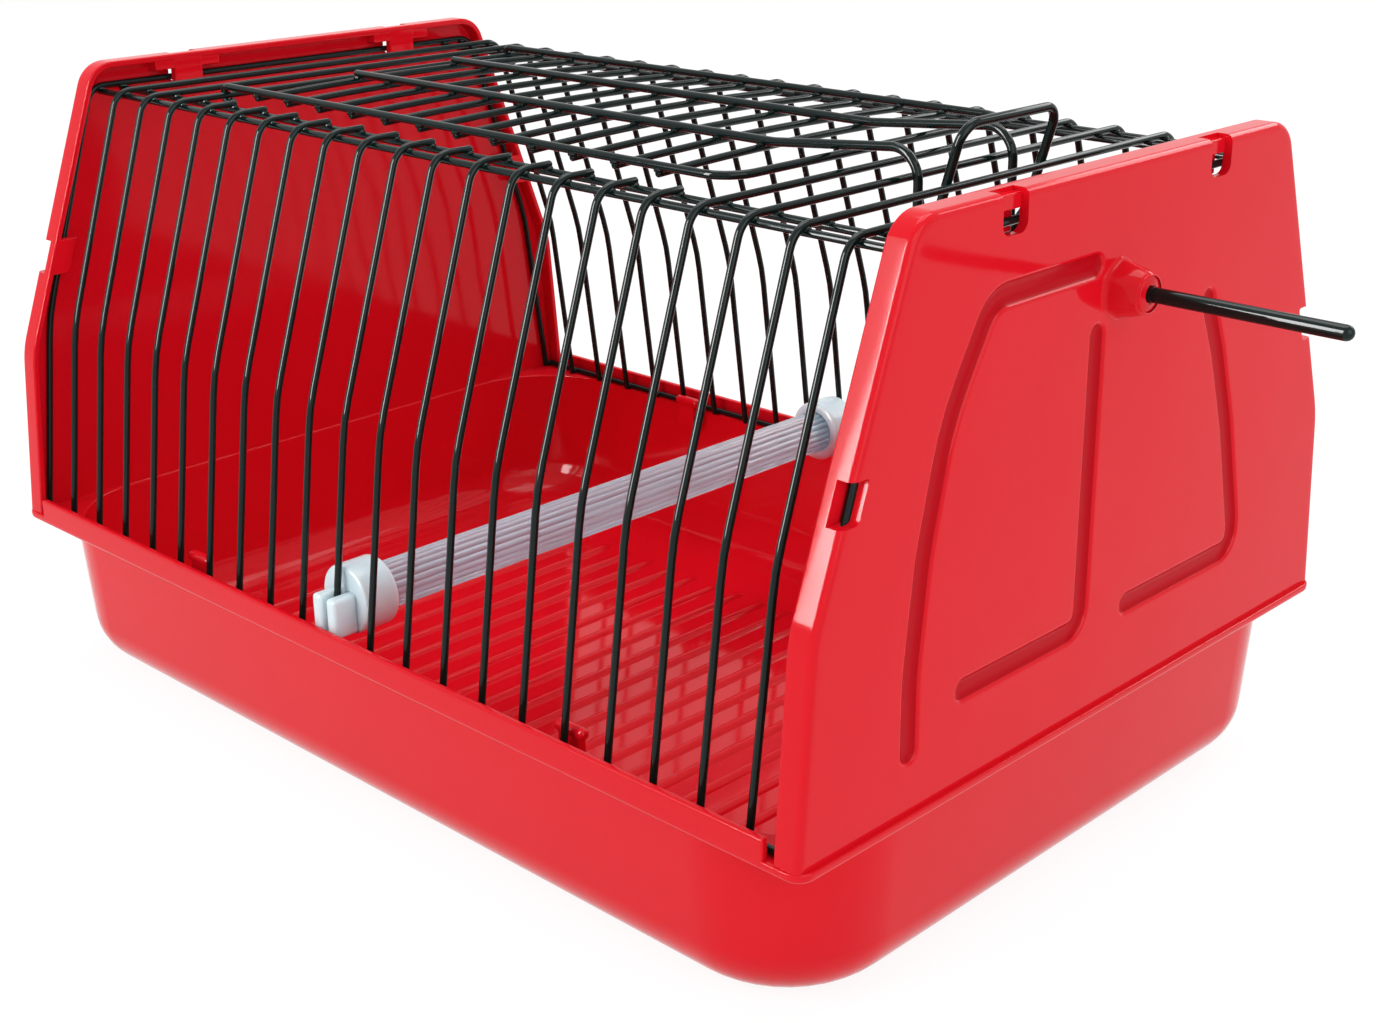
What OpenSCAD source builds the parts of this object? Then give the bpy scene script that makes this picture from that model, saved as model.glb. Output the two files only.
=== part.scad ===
// Small bird travel carrier: a red tray, two moulded end panels and a dark
// wire hood with a hinged roof door. X runs along the carrier, -Y is its
// front, and Z = 0 is the surface that the tray stands on. Millimetres.

/* [Tray] */
// Height of the tray from its resting face to its ledge
tray_h = 44; // [38:1:54]
// Thickness of the tray's walls and floor
tray_wall = 2.2; // [1.8:0.1:2.8]
// Thickness of the ledge round the top of the tray
ledge_t = 2.5; // [2:0.25:4]
// How far the ledge stands out from the tray's wall
ledge_out = 2; // [1:0.25:3.5]
// Radius of the tray's upright corners
tray_corner_r = 32; // [26:1:40]
// Radius of the tray's bottom edge
tray_edge_r = 14; // [8:1:17]
// Slope of the tray's walls from upright, in degrees
tray_draft = 4; // [1:0.5:6]
// Height of the rim along the front and rear
rim_h = 5; // [3.5:0.25:8]
// Thickness of that rim
rim_t = 2; // [1.5:0.25:2.25]
// Height of the floor ribs
rib_h = 1.2; // [0.8:0.1:1.6]
// Spacing of the floor ribs
rib_pitch = 10; // [8:0.5:14]
// Diameter of the snap lugs inside the foot of the hood
lug_d = 3; // [2.4:0.1:3.6]
// Length of the snap lugs
lug_l = 10; // [7:0.5:12]

/* [Wire hood] */
// Spacing of the upright wires
hoop_pitch = 14; // [13:0.5:16]
// Full hoops between the left panel's hoop and the door
left_hoop_n = 3; // [2:1:4]
// Wires cut short to make room for the door
short_bar_n = 13; // [11:2:15]
// Full hoops between the door and the right panel's hoop
right_hoop_n = 4; // [4:1:5]
// Diameter of the upright wires and of the rails
wire_d = 1.8; // [1.6:0.1:2]
// Half width of the hood at its foot
foot_y = 97.7; // [94:0.5:104]
// Half width of the hood at its knee
knee_y = 90.2; // [86:0.5:94]
// Height of the knee above the ledge
knee_z = 56; // [50:1:64]
// Half width of the hood at its roof
roof_y = 69.3; // [67:0.5:78]
// Height of the roof wires' centre lines above the ledge
roof_z = 119.2; // [112:0.5:130]
// Bend radius of the wires at the knee
knee_r = 60; // [20:5:100]
// Bend radius of the wires at the roof
roof_r = 6; // [4:0.5:8]
// Half width of the roof between the cut ends of the short bars
bar_end_y = 58; // [56:0.5:60]
// Distance of the outer roof rails from the hood's side wires
outer_rail_in = 3.3; // [2.5:0.1:4]
// How deep welded wires sink into each other
weld = 0.2; // [0.1:0.05:0.3]

/* [End panels] */
// Thickness of the panels' faces
panel_t = 2.2; // [1.8:0.1:3]
// Depth of the flange round each panel, with the face
flange_depth = 6.7; // [6:0.1:8]
// Thickness of the flange
flange_t = 1.8; // [1.4:0.1:2.2]
// Room between the end hoop and the flange at the foot
panel_foot_room = 1.9; // [1.6:0.1:3]
// Room between the end hoop and the flange at the roof
panel_roof_room = 0.3; // [0.2:0.1:1.5]
// How far the panel's knee stands out from the hood's knee
panel_knee_out = 8.2; // [7:0.1:9]
// How far the panel's knee lies under the hood's knee
panel_knee_drop = 8; // [6:0.5:10]
// Height of the panels above the roof wires' centre lines
panel_rise = 6.8; // [6:0.1:9]
// Radius of the panels' top corners
panel_top_r = 9; // [6:0.5:11]
// Bend radius of the panels' knees
panel_knee_r = 30; // [20:1:40]
// Width of the grooves in the panels
groove_w = 6; // [4:0.2:7]
// Depth of the grooves
groove_depth = 0.8; // [0.5:0.1:1.1]
// Height of the side pockets' lower edge above the ledge
side_pocket_z = 69.2; // [66:0.2:72]
// Height of the side pockets
side_pocket_h = 8.8; // [7:0.2:10]
// Distance of the top pockets from the middle
top_pocket_y = 39; // [34:0.5:46]
// Width of the top pockets
top_pocket_w = 8.4; // [7:0.2:10]
// How deep the side pockets cut into the panel's edge
pocket_depth = 4.8; // [4:0.2:5.6]
// Diameter of the boss at the panel's face
boss_d = 15; // [13:0.5:17]
// Diameter of the boss at its outer end
boss_end_d = 8.6; // [7.6:0.2:10]
// Length of the boss from the panel's face
boss_l = 8; // [6.5:0.1:9.5]

/* [Roof door and its lock] */
// Diameter of the door's frame wire
frame_d = 2; // [1.8:0.1:2.4]
// Half width of the door between its side wires' centre lines
door_y = 51; // [48:0.5:53]
// Bend radius of the door's corners
door_r = 8; // [5:0.5:10]
// Running gap between the door's hinge curls and their hoop
hinge_gap = 0.3; // [0.2:0.05:0.4]
// How much the door's cross wires bow up
door_crown = 1.2; // [0.8:0.1:1.6]
// How far the cross wires reach past the side wires
cross_over = 1.2; // [0.8:0.1:2]
// Diameter of the tongue and of the finger bail
tongue_d = 2.2; // [2:0.1:2.4]
// Half width of the tongue
tongue_y = 17.5; // [16:0.5:20]
// How much the tongue rises past the door's end
tongue_rise = 3.9; // [3.4:0.1:4.5]
// Bend radius where the tongue starts to rise
tongue_rise_r = 20; // [12:1:30]
// Distance of that bend past the last cross wire
tongue_rise_in = 4; // [2:0.5:6]
// Bend radius where the tongue turns down
tongue_r = 7; // [5:0.5:8]
// Distance of the tongue's legs behind the hoop in front of them
tongue_leg_in = 10; // [9.5:0.1:10.4]
// Bend radius at the tongue's cross bar and in the bail
loop_r = 3.2; // [2.6:0.1:4]
// Height of the bail's top bar above the roof wires' centre lines
bail_rise = 13.5; // [11:0.5:18]
// Half distance between the bail's eyes
eye_y = 12; // [11.5:0.1:12.2]
// Running gap in the bail's eyes
eye_gap = 0.2; // [0.15:0.05:0.3]
// Diameter of the sliding bolt
bolt_d = 3.4; // [3:0.1:3.8]
// Running gap round the bolt
bolt_gap = 0.05; // [0.03:0.01:0.08]
// Height of the bolt's axis above the ledge
bolt_z = 99.1; // [97:0.1:100]
// How far the drawn bolt stands out of the boss
bolt_out = 46; // [42:0.5:50]

/* [Perch] */
// Diameter over the perch's ribs
perch_d = 12.5; // [11:0.5:13.5]
// Number of ribs round the perch
perch_rib_n = 20; // [14:2:26]
// Depth of the grooves between the ribs
perch_rib_h = 0.5; // [0.3:0.1:0.8]
// Height of the perch's axis above the ledge
perch_z = 10.3; // [9.8:0.1:12]
// Wall of the clips round the perch
clip_wall = 2.7; // [2:0.1:3.2]
// Length of the clips' sockets
clip_l = 10.5; // [8:0.5:13]
// Gap between each prong and the wire that it grips
prong_gap = 0.15; // [0.1:0.05:0.25]
// Width of each prong
prong_w = 3.5; // [2.5:0.25:5]
// Height of the prongs' tops above the ledge
prong_top = 13; // [11:0.25:15]

/* [Hidden] */

fit_gap = 0.1;       // gap between pieces that stand against each other
clear_gap = 0.3;     // gap between pieces that pass each other
cut_over = 1;        // how far a cut runs past what it cuts
bend_lap = 0.3;      // how far a bend reaches into the straights beside it
bend_thin = 0.02;    // how much thinner a bend's radius is than a straight's
wire_fn = 24;
bend_fn = 48;
hull_fn = 32;
round_fn = 48;
arc_steps = 6;

wire_r = wire_d / 2;
frame_r = frame_d / 2;
tongue_wire_r = tongue_d / 2;
bolt_r = bolt_d / 2;

// Places of the hoops, counted from the left panel's hoop
hoop_n = left_hoop_n + short_bar_n + right_hoop_n + 2;
first_bar = left_hoop_n + 1;
last_bar = left_hoop_n + short_bar_n;
last_hoop = hoop_n - 1;
function hoop_x(i) = (i - last_hoop / 2) * hoop_pitch;

// Leans of the hood's sides, as half width lost per height
low_lean = (foot_y - knee_y) / knee_z;
high_lean = (knee_y - roof_y) / (roof_z - knee_z);
function hood_y(z) = z < knee_z ? foot_y - low_lean * z : knee_y - high_lean * (z - knee_z);

// End panels
panel_inner_x = hoop_x(last_hoop) + wire_r + fit_gap;
panel_x = panel_inner_x + panel_t;
flange_x = panel_x - flange_depth;
panel_foot_y = foot_y + wire_r + panel_foot_room + flange_t;
panel_knee_y = knee_y + panel_knee_out;
panel_knee_z = knee_z - panel_knee_drop;
panel_roof_y = roof_y + wire_r + panel_roof_room + flange_t;
panel_lean = (panel_knee_y - panel_roof_y) / (roof_z - panel_knee_z);
panel_top_z = roof_z + panel_rise;
panel_top_y = panel_roof_y - panel_lean * panel_rise;
function panel_y(z) = panel_knee_y - panel_lean * (z - panel_knee_z);
tab_over = 2.6;      // how far a panel's tab reaches past the end hoop's outside
tab_t = hoop_x(last_hoop) - wire_r - fit_gap - flange_x;
pocket_x = flange_x + tab_t + fit_gap;

// Tray
ledge_margin = 1.3;
ledge_x = panel_x + ledge_margin;
ledge_y = panel_foot_y + ledge_margin / 2;
ledge_corner_r = 4.5;
tub_x = ledge_x - ledge_out;
tub_y = ledge_y - ledge_out;
rim_end_x = flange_x - clear_gap - rim_t;
rib_field_y = 64;
rib_field_x = 120;
rib_half_w = 2;

// Rails of the hood
roof_rail_z = roof_z - wire_d + weld;
outer_rail_y = roof_y - outer_rail_in;
inner_rail_y = bar_end_y + wire_d / 2;
sill_rail_y = foot_y + wire_d - weld;
sill_rail_z = wire_r + fit_gap;
hoop_foot_z = fit_gap;

// Roof door
hinge_x = hoop_x(left_hoop_n);
hinge_r = wire_r + hinge_gap + frame_r;
frame_z = roof_z + hinge_r;
door_end_x = hoop_x(last_bar) + hoop_pitch / 2;
curl_angle = 245;
cross_z = frame_z - frame_r - wire_r + weld;
crown_r = (door_y * door_y + door_crown * door_crown) / (2 * door_crown);
function crown_z(y) = cross_z + sqrt(crown_r * crown_r - y * y) - (crown_r - door_crown);
cross_first = first_bar;
cross_last = last_bar - 1;

// Tongue of the door, the hoop that its bail leans on, and the bolt
tongue_z = crown_z(tongue_y) + wire_r + tongue_wire_r - weld;
rest_hoop_x = hoop_x(last_bar + 3);
leg_x = rest_hoop_x - tongue_leg_in;
bolt_head_d = bolt_d + 3.6;
bolt_head_l = 1.5;
cross_bar_z = bolt_z - bolt_head_d / 2 - clear_gap - tongue_wire_r;
tongue_top_z = tongue_z + tongue_rise;
tongue_bend_x = hoop_x(cross_last) + tongue_rise_in;

// The bail leans until its legs touch the next hoop
eye_r = tongue_d + eye_gap;
rest_dx = rest_hoop_x - leg_x;
rest_dz = roof_z - cross_bar_z;
bail_touch = wire_r + tongue_wire_r + clear_gap;
bail_lean = atan2(rest_dx, rest_dz) - asin(bail_touch / norm([rest_dx, rest_dz]));
bail_top = (roof_z + bail_rise - cross_bar_z) / cos(bail_lean);
bail_jog_low = 7;
bail_jog_high = 15;
bail_top_r = 5;

// Bolt
bolt_tip_x = panel_x + boss_l + bolt_out;
bolt_head_x = panel_inner_x - bolt_head_l - clear_gap;

// Perch
perch_x = hoop_x(round(last_hoop / 2 - 0.5));
clip_r = perch_d / 2 + fit_gap + clip_wall;
clip_end_y = hood_y(perch_z + clip_r) - wire_r - clear_gap;
clip_mouth_y = clip_end_y - clip_l;
clip_floor_t = 3;
perch_end_y = clip_end_y - clip_floor_t - fit_gap;
prong_end_y = ledge_y - rim_t - clear_gap;
prong_z = sill_rail_z + wire_r + 2 * clear_gap;
prong_corner_r = 1.5;

function unit(v) = v / norm(v);

// The wire from a to b
module straight(a, b, d) {
  v = b - a;
  translate(a)
    rotate([0, acos(v[2] / norm(v)), atan2(v[1], v[0])])
      cylinder(d = d, h = norm(v), $fn = wire_fn);
}

// The bend of radius r at corner p, between directions u and v. It is a hair
// thinner than the straights and reaches a little way into each of them.
module elbow(p, u, v, r, d) {
  turn = acos(u * v);
  lap = bend_lap / r * 180 / PI;
  axis = unit(cross(u, v));
  inward = cross(axis, u);
  centre = p - u * r * tan(turn / 2) + inward * r;
  multmatrix([
    [-inward[0], u[0], axis[0], centre[0]],
    [-inward[1], u[1], axis[1], centre[1]],
    [-inward[2], u[2], axis[2], centre[2]],
    [0, 0, 0, 1]
  ])
    rotate_extrude(start = -lap, angle = turn + 2 * lap, $fn = bend_fn)
      translate([r, 0]) circle(d = d - 2 * bend_thin, $fn = wire_fn);
}

// A wire along the corners p, each bent to its radius in r
module bent_wire(p, r, d) {
  last = len(p) - 1;
  dir = [for (i = [0:last - 1]) unit(p[i + 1] - p[i])];
  setback = [for (i = [0:last])
    i == 0 || i == last ? 0 : r[i] * tan(acos(dir[i - 1] * dir[i]) / 2)];
  for (i = [0:last - 1])
    straight(p[i] + dir[i] * setback[i], p[i + 1] - dir[i] * setback[i + 1], d);
  for (i = [1:last - 1])
    elbow(p[i], dir[i - 1], dir[i], r[i], d);
}

// The points of a closed outline p whose corners are rounded to the radii r
function rounded(p, r) = [
  for (i = [0:len(p) - 1])
    let (u = unit(p[i] - p[(i + len(p) - 1) % len(p)]),
         v = unit(p[(i + 1) % len(p)] - p[i]),
         turn = acos(u * v),
         side = sign(u[0] * v[1] - u[1] * v[0]),
         start = p[i] - u * r[i] * tan(turn / 2),
         centre = start + side * r[i] * [-u[1], u[0]],
         from = atan2(start[1] - centre[1], start[0] - centre[0]))
    each r[i] == 0
      ? [p[i]]
      : [for (k = [0:arc_steps])
          centre + r[i] * [cos(from + side * turn * k / arc_steps),
                           sin(from + side * turn * k / arc_steps)]]
];

// Draws the children again at the other side of the front-to-rear middle
module both_sides() {
  children();
  mirror([0, 1, 0]) children();
}

module on_ledge() {
  translate([0, 0, tray_h]) children();
}

// ---- Tray ----

// The tub's shape drawn in by t all round and above its bottom, up to top
module tub_solid(t, top) {
  edge_r = tray_edge_r - t;
  function corner_at(z, inset) =
    [tray_corner_r - t - inset - tan(tray_draft) * (tray_h - z), z];
  hull()
    for (x = [-1, 1], y = [-1, 1])
      translate([x * (tub_x - tray_corner_r), y * (tub_y - tray_corner_r), 0])
        rotate_extrude($fn = hull_fn)
          polygon([
            [0, t],
            for (angle = [0:22.5:90])
              corner_at(t + edge_r * (1 - cos(angle)), edge_r * (1 - sin(angle))),
            corner_at(top, 0),
            [0, top]
          ]);
}

module ledge_plate() {
  rounded_corner = [for (i = [0:3]) ledge_corner_r];
  translate([0, 0, tray_h - ledge_t])
    linear_extrude(ledge_t)
      polygon(rounded([[-ledge_x, -ledge_y], [ledge_x, -ledge_y],
                       [ledge_x, ledge_y], [-ledge_x, ledge_y]], rounded_corner));
}

module rim() {
  both_sides()
    translate([-rim_end_x, ledge_y - rim_t, tray_h - ledge_t / 2])
      cube([2 * rim_end_x, rim_t, rim_h + ledge_t / 2]);
}

module floor_ribs() {
  rib_r = (rib_half_w * rib_half_w + rib_h * rib_h) / (2 * rib_h);
  half_n = floor(rib_field_x / rib_pitch);
  for (i = [-half_n:half_n])
    translate([i * rib_pitch, rib_field_y, tray_wall + rib_h - rib_r])
      rotate([90, 0, 0])
        intersection() {
          cylinder(r = rib_r, h = 2 * rib_field_y, $fn = round_fn);
          translate([-rib_r, rib_r - rib_h - tray_wall / 2, 0])
            cube([2 * rib_r, 2 * rib_r, 2 * rib_field_y]);
        }
}

// A lug that stands inside the hoops' feet, on a bracket from the tray's wall
module snap_lug() {
  lug_z = 3.5;
  lug_y = hood_y(lug_z + lug_d) - wire_r - clear_gap - lug_d / 2;
  bracket_w = lug_l - lug_d;
  bracket_t = lug_d * 0.7;
  bracket_z = -5;
  under_foot = 0.6;
  translate([0, lug_y, lug_z])
    rotate([0, 90, 0])
      rotate_extrude($fn = wire_fn)
        polygon([
          [0, -lug_l / 2],
          for (angle = [30:30:90])
            [lug_d / 2 * sin(angle), -lug_l / 2 + lug_d / 2 * (1 - cos(angle))],
          for (angle = [90:-30:30])
            [lug_d / 2 * sin(angle), lug_l / 2 - lug_d / 2 * (1 - cos(angle))],
          [0, lug_l / 2]
        ]);
  translate([-bracket_w / 2, lug_y - bracket_t / 2, bracket_z])
    cube([bracket_w, bracket_t, lug_z - bracket_z]);
  translate([-bracket_w / 2, lug_y - bracket_t / 2, bracket_z])
    cube([bracket_w, tub_y - tray_wall / 2 - lug_y, -bracket_z - under_foot]);
}

// Places of the snap lugs along the tray
lug_x = [-72, 76];

module tray() {
  color("firebrick") {
    difference() {
      union() {
        tub_solid(0, tray_h - ledge_t / 2);
        ledge_plate();
      }
      tub_solid(tray_wall, tray_h + cut_over);
    }
    rim();
    floor_ribs();
    on_ledge()
      both_sides()
        for (x = lug_x) translate([x, 0, 0]) snap_lug();
  }
}

// ---- End panels ----

// The panel's outline drawn in by t
module panel_outline(t) {
  side_in = t * sqrt(1 + panel_lean * panel_lean);
  foot = t > 0 ? -cut_over : 0;
  r = panel_top_r - t;
  polygon(rounded([
    [-(panel_foot_y - t), foot], [panel_foot_y - t, foot],
    [panel_knee_y - t, panel_knee_z],
    [panel_top_y - side_in + panel_lean * t, panel_top_z - t],
    [-(panel_top_y - side_in + panel_lean * t), panel_top_z - t],
    [-(panel_knee_y - t), panel_knee_z]
  ], [0, 0, panel_knee_r, r, r, panel_knee_r]));
}

// Extrudes an outline drawn in Y and Z from x0 to x1
module along_x(x0, x1) {
  translate([x0, 0, 0])
    rotate([90, 0, 90])
      linear_extrude(x1 - x0) children();
}

// The routes of the grooves in the panel's face, as [Y, Z] points
groove_routes = [
  [[-9, 105.5], [-45, 105.5], [-58.5, 83], [-65, 56], [-68, 31], [-68, 14]],
  [[-7, 90], [-7, 22], [-50, 22]],
  [[38.6, 89], [45, 75], [51.5, 56], [58.4, 29], [58.4, 22], [12, 22]]
];

// One run of a groove, a hair narrower than its round ends
module groove(a, b) {
  v = b - a;
  run_w = groove_w - 2 * bend_thin;
  translate(a) {
    circle(d = groove_w, $fn = wire_fn);
    rotate(atan2(v[1], v[0]))
      translate([0, -run_w / 2]) square([norm(v), run_w]);
  }
  translate(b) circle(d = groove_w, $fn = wire_fn);
}

module grooves() {
  along_x(panel_x - groove_depth, panel_x + cut_over)
    for (route = groove_routes)
      for (i = [0:len(route) - 2]) groove(route[i], route[i + 1]);
}

// Windows through the panel's edge, beside the tabs that trap the end hoop
module side_pocket() {
  top_z = side_pocket_z + side_pocket_h;
  along_x(pocket_x, panel_x + cut_over)
    polygon([
      [panel_y(side_pocket_z) - pocket_depth, side_pocket_z], [2 * foot_y, side_pocket_z],
      [2 * foot_y, top_z], [panel_y(top_z) - pocket_depth, top_z]
    ]);
}

tab_in = 1;          // how far a side tab reaches past the end hoop's inside
tab_lap = 0.4;       // how far the tabs reach past their pockets

module side_tab() {
  low_z = side_pocket_z - tab_lap;
  top_z = side_pocket_z + side_pocket_h + tab_lap;
  reach = wire_r + tab_in;
  along_x(flange_x, flange_x + tab_t)
    polygon([
      [hood_y(low_z) - reach, low_z], [panel_y(low_z) - flange_t / 2, low_z],
      [panel_y(top_z) - flange_t / 2, top_z], [hood_y(top_z) - reach, top_z]
    ]);
}

top_pocket_drop = 1.9;  // how far the top pockets reach below the end hoop's centre line

module top_pocket() {
  translate([pocket_x, top_pocket_y - top_pocket_w / 2, roof_z - top_pocket_drop])
    cube([flange_depth, top_pocket_w, panel_rise + top_pocket_drop + cut_over]);
}

module top_tab() {
  translate([flange_x, top_pocket_y - top_pocket_w / 2 - tab_lap, roof_z - tab_over])
    cube([tab_t, top_pocket_w + 2 * tab_lap, panel_rise + tab_over - flange_t / 2]);
}

module panel_shell() {
  difference() {
    along_x(flange_x, panel_x) panel_outline(0);
    along_x(flange_x - cut_over, panel_inner_x) panel_outline(flange_t);
    both_sides() {
      side_pocket();
      top_pocket();
    }
    grooves();
  }
  both_sides() {
    side_tab();
    top_tab();
  }
}

// The six-sided boss that guides the bolt
module boss() {
  hex_d = (boss_d + boss_end_d) / 2;
  translate([panel_inner_x, 0, bolt_z])
    rotate([0, 90, 0])
      intersection() {
        cylinder(d1 = boss_d, d2 = boss_end_d, h = panel_t + boss_l, $fn = round_fn);
        rotate(30) cylinder(d = hex_d / cos(30), h = panel_t + boss_l, $fn = 6);
      }
}

module left_end_panel() {
  color("firebrick") on_ledge()
    rotate([0, 0, 180]) panel_shell();
}

module right_end_panel() {
  color("firebrick") on_ledge()
    difference() {
      union() {
        panel_shell();
        boss();
      }
      translate([panel_inner_x - cut_over, 0, bolt_z])
        rotate([0, 90, 0])
          cylinder(r = bolt_r + bolt_gap, h = panel_t + boss_l + 2 * cut_over, $fn = round_fn);
    }
}

// ---- Wire hood ----

module hoop(i) {
  x = hoop_x(i);
  bent_wire([
    [x, -hood_y(hoop_foot_z), hoop_foot_z], [x, -knee_y, knee_z], [x, -roof_y, roof_z],
    [x, roof_y, roof_z], [x, knee_y, knee_z], [x, hood_y(hoop_foot_z), hoop_foot_z]
  ], [0, knee_r, roof_r, roof_r, knee_r, 0], wire_d);
}

module short_bar(i) {
  x = hoop_x(i);
  bent_wire([
    [x, hood_y(hoop_foot_z), hoop_foot_z], [x, knee_y, knee_z],
    [x, roof_y, roof_z], [x, bar_end_y, roof_z]
  ], [0, knee_r, roof_r, 0], wire_d);
}

module wires(first, last) {
  color("darkslategray") on_ledge()
    for (i = [first:last]) hoop(i);
}

module left_end_hoop() { wires(0, 0); }
module left_hoops() { wires(1, left_hoop_n); }
module right_hoops() { wires(last_bar + 1, last_hoop - 1); }
module right_end_hoop() { wires(last_hoop, last_hoop); }

module rear_bars() {
  color("darkslategray") on_ledge()
    for (i = [first_bar:last_bar]) short_bar(i);
}

module front_bars() {
  mirror([0, 1, 0]) rear_bars();
}

// A straight rail as long as the hood
module rail(y, z) {
  color("darkslategray") on_ledge()
    straight([hoop_x(0) - wire_r, y, z], [hoop_x(last_hoop) + wire_r, y, z], wire_d);
}

module front_outer_rail() { rail(-outer_rail_y, roof_rail_z); }
module front_inner_rail() { rail(-inner_rail_y, roof_rail_z); }
module rear_outer_rail() { rail(outer_rail_y, roof_rail_z); }
module rear_inner_rail() { rail(inner_rail_y, roof_rail_z); }
module front_sill_rail() { rail(-sill_rail_y, sill_rail_z); }
module rear_sill_rail() { rail(sill_rail_y, sill_rail_z); }

// ---- Roof door ----

// A curl round the hinge hoop, from the top of the hoop to its inner side
module hinge_curl() {
  translate([hinge_x, door_y, roof_z])
    rotate([90, 0, 0])
      rotate_extrude(start = 90, angle = curl_angle, $fn = bend_fn)
        translate([hinge_r, 0]) circle(d = frame_d, $fn = wire_fn);
}

module door_frame() {
  color("darkslategray") on_ledge() {
    bent_wire([
      [hinge_x, -door_y, frame_z], [door_end_x, -door_y, frame_z],
      [door_end_x, door_y, frame_z], [hinge_x, door_y, frame_z]
    ], [0, door_r, door_r, 0], frame_d);
    both_sides() hinge_curl();
  }
}

// A cross wire bows up in an arc from one side wire to the other
module cross_wire(x) {
  half = asin((door_y + cross_over) / crown_r);
  translate([x, 0, cross_z + door_crown - crown_r])
    rotate([90, 0, 90])
      rotate_extrude(start = 90 - half, angle = 2 * half, $fn = bend_fn * 2)
        translate([crown_r, 0]) circle(d = wire_d, $fn = wire_fn);
}

module door_cross_wires() {
  color("darkslategray") on_ledge()
    for (i = [cross_first:cross_last]) cross_wire(hoop_x(i));
}

module door_tongue() {
  start_x = hoop_x(cross_first) - wire_r;
  color("darkslategray") on_ledge()
    bent_wire([
      [start_x, -tongue_y, tongue_z], [tongue_bend_x, -tongue_y, tongue_z],
      [leg_x, -tongue_y, tongue_top_z], [leg_x, -tongue_y, cross_bar_z],
      [leg_x, tongue_y, cross_bar_z], [leg_x, tongue_y, tongue_top_z],
      [tongue_bend_x, tongue_y, tongue_z], [start_x, tongue_y, tongue_z]
    ], [0, tongue_rise_r, tongue_r, loop_r, loop_r, tongue_r, tongue_rise_r, 0], tongue_d);
}

// The bail turns on the tongue's cross bar and leans on the next hoop
module finger_bail() {
  color("darkslategray") on_ledge()
    translate([leg_x, 0, cross_bar_z])
      rotate([0, bail_lean, 0]) {
        bent_wire([
          [0, -eye_y, eye_r], [0, -eye_y, bail_jog_low], [0, -tongue_y, bail_jog_high],
          [0, -tongue_y, bail_top], [0, tongue_y, bail_top],
          [0, tongue_y, bail_jog_high], [0, eye_y, bail_jog_low], [0, eye_y, eye_r]
        ], [0, loop_r, loop_r, bail_top_r, bail_top_r, loop_r, loop_r, 0], tongue_d);
        both_sides()
          translate([0, eye_y, 0])
            rotate([90, 0, 0])
              rotate_extrude($fn = bend_fn)
                translate([eye_r, 0]) circle(d = tongue_d, $fn = wire_fn);
      }
}

module bolt_rod() {
  color("darkslategray") on_ledge()
    translate([bolt_head_x, 0, bolt_z])
      rotate([0, 90, 0]) {
        cylinder(d = bolt_head_d, h = bolt_head_l, $fn = round_fn);
        cylinder(d = bolt_d, h = bolt_tip_x - bolt_r - bolt_head_x, $fn = round_fn);
        translate([0, 0, bolt_tip_x - bolt_r - bolt_head_x]) sphere(d = bolt_d, $fn = round_fn);
      }
}

// ---- Perch ----

module perch_bar() {
  points = 2 * perch_rib_n;
  color("lightsteelblue") on_ledge()
    translate([perch_x, perch_end_y, perch_z])
      rotate([90, 0, 0])
        linear_extrude(2 * perch_end_y)
          polygon([for (k = [0:points - 1])
            (perch_d / 2 - (k % 2) * perch_rib_h) * [cos(k * 360 / points), sin(k * 360 / points)]]);
}

module prong(x0, x1, top) {
  root = clip_end_y - clip_floor_t;
  r = prong_corner_r;
  translate([x0, root, prong_z])
    cube([x1 - x0, prong_end_y - root, top - prong_z - r]);
  translate([x0, root, prong_z])
    cube([x1 - x0, prong_end_y - root - r, top - prong_z]);
  translate([x0, prong_end_y - r, top - r])
    rotate([0, 90, 0]) cylinder(r = r, h = x1 - x0, $fn = wire_fn);
}

// A blind socket on the perch's end, with two prongs that grip a wire
module perch_clip() {
  rim_r = 1.2;
  mouth_r = perch_d / 2 + fit_gap;
  grip = wire_r + prong_gap;
  color("azure") on_ledge()
    translate([perch_x, 0, 0]) {
      translate([0, 0, perch_z])
        rotate([-90, 0, 0])
          difference() {
            rotate_extrude($fn = round_fn)
              polygon([
                [0, clip_end_y], [clip_r, clip_end_y],
                for (k = [0:arc_steps])
                  [mouth_r + 0.6 + (clip_r - mouth_r - 0.6) * cos(k * 90 / arc_steps),
                   clip_mouth_y + rim_r * (1 - sin(k * 90 / arc_steps))],
                [0, clip_mouth_y]
              ]);
            translate([0, 0, clip_mouth_y - cut_over])
              cylinder(r = mouth_r, h = clip_l - clip_floor_t + cut_over, $fn = round_fn);
          }
      prong(grip, grip + prong_w, prong_top);
      prong(-grip - prong_w, -grip, prong_top);
    }
}

module rear_perch_clip() { perch_clip(); }
module front_perch_clip() { mirror([0, 1, 0]) perch_clip(); }

tray();
left_end_panel();
right_end_panel();
left_end_hoop();
right_end_hoop();
left_hoops();
right_hoops();
front_bars();
rear_bars();
front_outer_rail();
front_inner_rail();
rear_outer_rail();
rear_inner_rail();
front_sill_rail();
rear_sill_rail();
door_frame();
door_cross_wires();
door_tongue();
finger_bail();
bolt_rod();
perch_bar();
front_perch_clip();
rear_perch_clip();
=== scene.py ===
"""Small bird travel carrier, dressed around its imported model.

The frame is the model's own, in metres: X runs along the carrier to the end with the bolt, -Y is its
front, and Z = 0 is what the tray stands on. Sizes below are millimetres, as a maker would give them.
"""

import math

import bmesh
import bpy
import numpy as np
from mathutils import Matrix, Vector
from mathutils.geometry import delaunay_2d_cdt


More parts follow.
